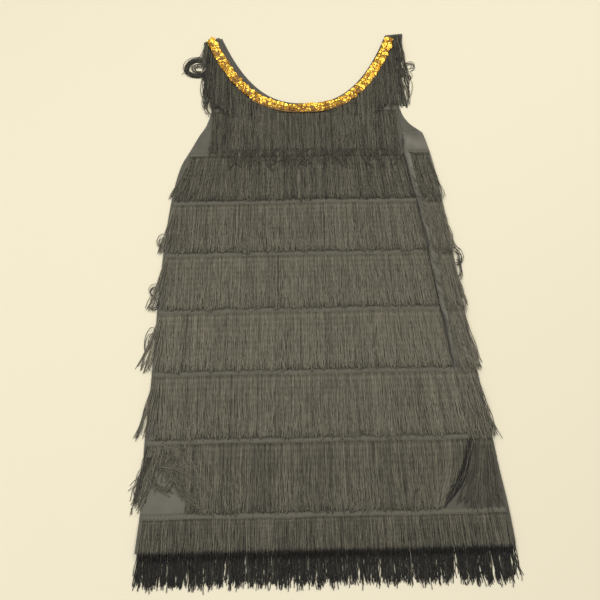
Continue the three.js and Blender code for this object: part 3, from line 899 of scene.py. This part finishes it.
def makeBackHemFringe(skins):
    s = dict(fringeSet, layers=2, points=7, lean=2.4, clump=9, spacing=2.6, ragged=0.08)
    roots = rootPlaces(leftEdge(hemY) + 3, foldLine(hemY) - 1, s)
    floorLevel = lambda x, y: np.zeros(np.broadcast(x, y).shape)
    paths, radius, tone = combedStrands(roots, hemY + 1.5, 36, s, floorLevel)
    paths[:, :, 2] = np.minimum(paths[:, :, 2], 1.5)
    # painted shade: the strands on the table below the hem darkened
    parts = [strandPart(paths, radius, tone - 0.45, s)]
    return finishFringe("fringeBackHem", parts, skins, "back_fringe_8")


strapSet = {
    "left_upper": {"y": 434, "length": 78, "slide": -33},
    "left_lower": {"y": 376.4, "length": 84, "slide": -5},
    "right_upper": {"y": 434, "length": 80, "slide": 11},
    "right_lower": {"y": 376.4, "length": 84, "slide": 5},
}
trimSet = {"left": 7, "middle": 4, "right": 1.5, "width": 19, "thickness": 1.2, "rise": 2.5}


def trimInset(u):
    side = np.where(u < 0, trimSet["left"], trimSet["right"])
    return lerp(trimSet["middle"], side, np.abs(u))


def trimEdgeX(y, sign):
    # outer edge of the trim on one strap, at a height
    u = sign * np.linspace(0.2, 1, 120)
    x, ys = neckOffset(frontNeck, u, trimInset(u) + trimSet["width"] + 2)
    return np.interp(y, ys, x)


def strapSurface(x, y):
    left, right = leftEdge(y), frontRight(y)
    top = frontTop(np.clip(x, left, right), np.minimum(y, 436))
    aside = np.maximum(np.maximum(left - x, x - right), 0)
    return lerp(top, 0, smooth(0.5, 11, aside))


def makeStrapFringe(name, skins):
    row = strapSet[name]
    s = dict(fringeSet, lean=2.0, clump=6.5, wave=1.1)
    y = row["y"]
    left, right = leftEdge(y) + 1.5, trimEdgeX(y, -1)
    if "right" in name:
        left, right = trimEdgeX(y, 1), frontRight(y) - 1.5
    roots = rootPlaces(left, right, s)
    outer = (right - roots if "left" in name else roots - left) / max(right - left, 1)
    sweep = row["slide"] * smooth(0.6, 1.0, outer)
    paths, radius, tone = combedStrands(roots, y - s["rootDrop"], row["length"], s, strapSurface, sweep)
    if "upper" in name:  # the upper row lies over the lower heading
        paths[:, :, 2] += 1.6 * smooth(384, 378, paths[:, :, 1]) * smooth(340, 368, paths[:, :, 1]) + 0.6
    parts = [strandPart(paths, radius, tone - 0.26, s)]
    parts += tapeParts(left, right, y, strapSurface, tapeSet)
    if "upper" in name:
        shoulder = 448 if "right" in name else 439
        inner = (right + 5, left + 0.5) if "left" in name else (left - 6, right - 0.5)
        caps = rootPlaces(min(inner), max(inner), s)
        paths, radius, tone = combedStrands(caps, shoulder, 58, s, strapSurface, 0.2 * row["slide"])
        paths[:, :, 2] += 2.0
        parts.append(strandPart(paths, radius, tone - 0.28, s))
    side, level = name.split("_")
    return finishFringe("fringeStrap" + side.title() + level.title(), parts, skins, "strap_fringe_" + name)


def finishFringe(name, parts, skins, node):
    piece = joinParts(name, parts, skins)
    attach(piece, "root")
    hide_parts(node)
    return piece


# Loose loops and wisps that stand away from the rows

curls = [  # centre, radii, start and sweep in degrees, strands, least size, tone
    {"at": (-195, 380), "radii": (25, 23), "turn": (35, 300), "count": 24, "inner": 0.66, "tone": -0.06},
    {"at": (-193, 378), "radii": (17, 12), "turn": (0, 300), "count": 6, "inner": 0.4, "tone": 0.0},
    {"at": (-234, 24), "radii": (8, 13), "turn": (30, 250), "count": 3, "inner": 0.4, "tone": 0.02},
    {"at": (-238, -60), "radii": (11, 13), "turn": (25, 240), "count": 4, "inner": 0.4, "tone": 0.02},
    {"at": (-235, -80), "radii": (7, 9), "turn": (200, 240), "count": 4, "inner": 0.5, "tone": 0.02},
    {"at": (-236, -142), "radii": (10, 26), "turn": (35, 170), "count": 3, "inner": 0.6, "tone": 0.02},
    {"at": (213, -12), "radii": (11, 17), "turn": (85, -190), "count": 6, "inner": 0.6, "tone": 0.02},
    {"at": (211, -30), "radii": (9, 22), "turn": (60, -140), "count": 5, "inner": 0.6, "tone": 0.02},
    {"at": (180, 376), "radii": (9, 9), "turn": (-80, 230), "count": 4, "inner": 0.4, "tone": 0.0},
    {"at": (177, 352), "radii": (7, 9), "turn": (-85, 220), "count": 3, "inner": 0.4, "tone": 0.0},
]
wisps = [  # bundles of ends drawn from and to, with a bow
    {"from": (-179, 372), "to": (-179, 306), "bow": -5, "count": 8, "tone": -0.08},
    {"from": (-174, 366), "to": (-171, 296), "bow": 3, "count": 8, "tone": -0.08},
    {"from": (-181, 330), "to": (-172, 270), "bow": -5, "count": 5, "tone": 0.0},
    {"from": (-166, 322), "to": (-158, 252), "bow": -4, "count": 9, "tone": 0.02},
    {"from": (-152, 300), "to": (-140, 226), "bow": 5, "count": 10, "tone": 0.06},
    {"from": (166, 372), "to": (174, 310), "bow": 5, "count": 8, "tone": -0.08},
    {"from": (163, 344), "to": (168, 284), "bow": 5, "count": 8, "tone": 0.1},
    {"from": (160, 420), "to": (174, 372), "bow": 4, "count": 8, "tone": -0.08},
    {"from": (146, 318), "to": (141, 250), "bow": -4, "count": 9, "tone": 0.06},
    {"from": (-212, -312), "to": (-150, -344), "bow": 10, "count": 10, "tone": 0.3},
    {"from": (-200, -304), "to": (-152, -364), "bow": -9, "count": 13, "tone": 0.24},
    {"from": (-224, -312), "to": (-192, -346), "bow": -9, "count": 8, "tone": 0.26},
    {"from": (-224, -300), "to": (-238, -360), "bow": -3, "count": 10, "tone": 0.02},
]
for x in np.linspace(-134, 130, 44):  # the ragged ends of the first row, curled over the second heading
    bow, aside, down = (float(dice.normal(0, spread)) for spread in (7, 9, 7))
    wisps.append({"from": (x, 194), "to": (x + aside, 160 + down), "bow": bow, "count": 3, "tone": 0.04})
for y in np.linspace(150, -130, 24):  # a few ends drawn over the rolled seam
    x, bow = float(frontRight(y) + crestOffset(y)), float(dice.normal(0, 4))
    wisps.append({"from": (x - 3, y), "to": (x + 10, y - 42), "bow": bow, "count": 2, "tone": 0.26})


def outerSurface(x, y):
    # front, straps or table, whichever a loose strand lies on
    return np.where(y > 240, strapSurface(x, y), wholeSurface(x, y))


def makeLooseStrands(skins, p=14):
    t = np.linspace(0, 1, p)
    parts = []
    for c in curls:
        size = dice.uniform(c["inner"], 1.0, c["count"])[:, None]
        start, turn = c["turn"]
        angle = np.radians(start + dice.normal(0, 7, (c["count"], 1)) + turn * t[None, :])
        shift = dice.normal(0, 1.7, (2, c["count"], 1))
        x = c["at"][0] + shift[0] + c["radii"][0] * size * np.cos(angle)
        y = c["at"][1] + shift[1] + c["radii"][1] * size * np.sin(angle)
        z = outerSurface(x, y) + 0.7 + dice.uniform(0, 2.6, (c["count"], 1)) * np.sin(np.pi * t)[None, :]
        parts.append(looseTubes(x, y, z, c["tone"]))
    for w in wisps:
        (x0, y0), (x1, y1) = w["from"], w["to"]
        length = math.hypot(x1 - x0, y1 - y0)
        aside = w["bow"] * np.sin(np.pi * t)[None, :] * dice.uniform(0.5, 1.3, (w["count"], 1))
        aside = aside + 1.2 * np.sin(7 * t[None, :] + dice.uniform(0, 6, (w["count"], 1)))
        aside = aside + dice.normal(0, 2.2, (w["count"], 1))
        far = dice.uniform(0.8, 1.1, (w["count"], 1)) * t[None, :]
        x = x0 + (x1 - x0) * far - aside * (y1 - y0) / length
        y = y0 + (y1 - y0) * far + aside * (x1 - x0) / length
        over = 1.6 * smooth(200, 190, y) * smooth(130, 150, y)  # the second row's strands
        z = outerSurface(x, y) + 1.6 + over
        z = z + dice.uniform(0, 1.2, (w["count"], 1)) - 0.8 * t[None, :]
        parts.append(looseTubes(x, y, z, w["tone"]))
    piece = joinParts("looseStrands", parts, skins)
    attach(piece, "root")
    return piece


def looseTubes(x, y, z, shade):
    radius = fringeSet["radius"] * dice.uniform(0.75, 1.05, (len(x), 1)) * np.ones((1, x.shape[1]))
    tone = np.clip(shade + dice.normal(0, 0.06, (len(x), 1)) * np.ones((1, x.shape[1])), -0.3, 1)
    points, faces, shades = strandTubes(np.stack([x, y, np.maximum(z, 0.6)], axis=2), radius, tone, 4)
    return points, faces, shades, 0


# Neck trim: cupped gold sequins in two staggered rows on a dark braid

sequinSet = {"across": 9.4, "cup": 1.3, "thickness": 0.25, "pitch": 7.4, "tilt": 15, "rows": (5.2, 13.4)}


def trimPoint(u, across):
    return neckOffset(frontNeck, u, trimInset(u) + across)


def trimBase(x, y):
    return frontTop(x, np.minimum(y, 436)) + 0.3 + trimSet["rise"] * smooth(302, 285, y)


def makeSequin(s):
    # one sequin: a disc dished towards its middle
    bpy.ops.object.select_all(action="DESELECT")
    bpy.ops.mesh.primitive_circle_add(vertices=12, radius=s["across"] / 2 * mm, fill_type="NGON")
    model = bpy.context.object
    bpy.ops.object.mode_set(mode="EDIT")
    bpy.ops.mesh.select_all(action="SELECT")
    bpy.ops.mesh.inset(thickness=s["across"] * 0.17 * mm)
    bpy.ops.transform.translate(value=(0, 0, -s["cup"] * 0.7 * mm))
    bpy.ops.mesh.inset(thickness=s["across"] * 0.19 * mm)
    bpy.ops.transform.translate(value=(0, 0, -s["cup"] * 0.3 * mm))
    bpy.ops.object.mode_set(mode="OBJECT")
    applyModifier(model, "SOLIDIFY", thickness=s["thickness"] * mm, offset=0)
    return model


def makeTrim(gold, braid):
    s = sequinSet
    u = np.linspace(-0.995, 0.995, 170)
    across = np.array([0.4, 0.4, 3, 9.5, 16, 18.6, 18.6])
    height = np.array([0.1, 0.8, 1.2, 1.3, 1.2, 0.8, 0.1])
    x, y = trimPoint(u[:, None], across[None, :])
    z = trimBase(x, y) + height[None, :] * trimSet["thickness"] / 1.3
    n, m = x.shape
    at = np.arange(n * m).reshape(n, m)
    around = np.roll(at, -1, axis=1)
    walls = np.stack([q.ravel() for q in (at[:-1], around[:-1], around[1:], at[1:])], axis=1).tolist()
    ends = [at[0, ::-1].tolist(), at[-1].tolist()]
    tone = dice.uniform(0.1, 0.5, n * m)
    points = np.stack([x, y, z], axis=2).reshape(-1, 3)
    base = meshObject("trimBraidBand", points, walls + ends, [braid], tone)
    places, turns = [], []
    for row, offset in enumerate(s["rows"]):
        fine = np.linspace(-1.0, 0.99, 1500)
        px, py = trimPoint(fine, offset)
        run = np.concatenate(([0], np.cumsum(np.hypot(np.diff(px), np.diff(py)))))
        stops = np.arange(s["pitch"] * (0.3 + 0.5 * row), run[-1], s["pitch"])
        stops = stops + dice.normal(0, 0.5, len(stops))
        v = np.interp(stops, run, fine)
        qx, qy = trimPoint(v, offset + dice.normal(0, 0.7, len(v)))
        ax, ay = trimPoint(v + 2e-3, offset)
        heading = np.arctan2(ay - qy, ax - qx)
        lift = 2.3 + dice.normal(0, 0.25, len(v))
        places.append(np.stack([qx, qy, trimBase(qx, qy) + lift], axis=1))
        tilt = np.radians(s["tilt"] * np.clip(-4 * v, -1, 1) + dice.normal(0, 13, len(v)))
        roll = np.radians(dice.normal((14, -14)[row], 9, len(v)))
        turns.append(sequinTurns(heading, tilt, roll))
    places, turns = np.concatenate(places), np.concatenate(turns)
    tone = np.clip(dice.normal(0.45, 0.2, len(places)), 0, 0.9)
    sequins = copiesOf(makeSequin(s), turns, places, tone, "neckSequins", gold)
    for piece in (base, sequins):
        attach(piece, "root")
        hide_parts("neck_trim")
    print("trim made:", len(places), "sequins")
    return [base, sequins]


def sequinTurns(heading, tilt, roll):
    # turned to the trim's direction, tipped along it and rolled across it
    (ch, sh), (ct, st), (cr, sr) = ((np.cos(a), np.sin(a)) for a in (heading, tilt, roll))
    zero, one = np.zeros_like(ch), np.ones_like(ch)
    build = lambda rows: np.stack([np.stack(r, axis=-1) for r in rows], axis=-2)
    spin = build([[ch, -sh, zero], [sh, ch, zero], [zero, zero, one]])
    tip = build([[ct, zero, st], [zero, one, zero], [-st, zero, ct]])
    lean = build([[one, zero, zero], [zero, cr, -sr], [zero, sr, cr]])
    return spin @ tip @ lean


# Making the dress

makeCamera(cameraSet)
makeStage(floorSet, lampSet, skySet)
print("camera, floor and light made")
jersey = jerseyMaterial()
fringeSkins = [strandMaterial(), tapeMaterial(), threadMaterial()]
backCloth, backCut = makeBackCloth(jersey)
frontCloth, frontCut = makeFrontCloth(jersey)
print("cloth made")
frontPieces = [makeFrontFringe(k, fringeSkins) for k in range(1, 9)]
backPieces = [makeReturnFringe(k, fringeSkins) for k in range(2, 8)] + [makeBackHemFringe(fringeSkins)]
frontPieces += [makeStrapFringe(name, fringeSkins) for name in strapSet]
frontPieces.append(makeLooseStrands(fringeSkins))
print("fringe made")
frontPieces += makeTrim(goldMaterial(), braidMaterial())


print("dress made")
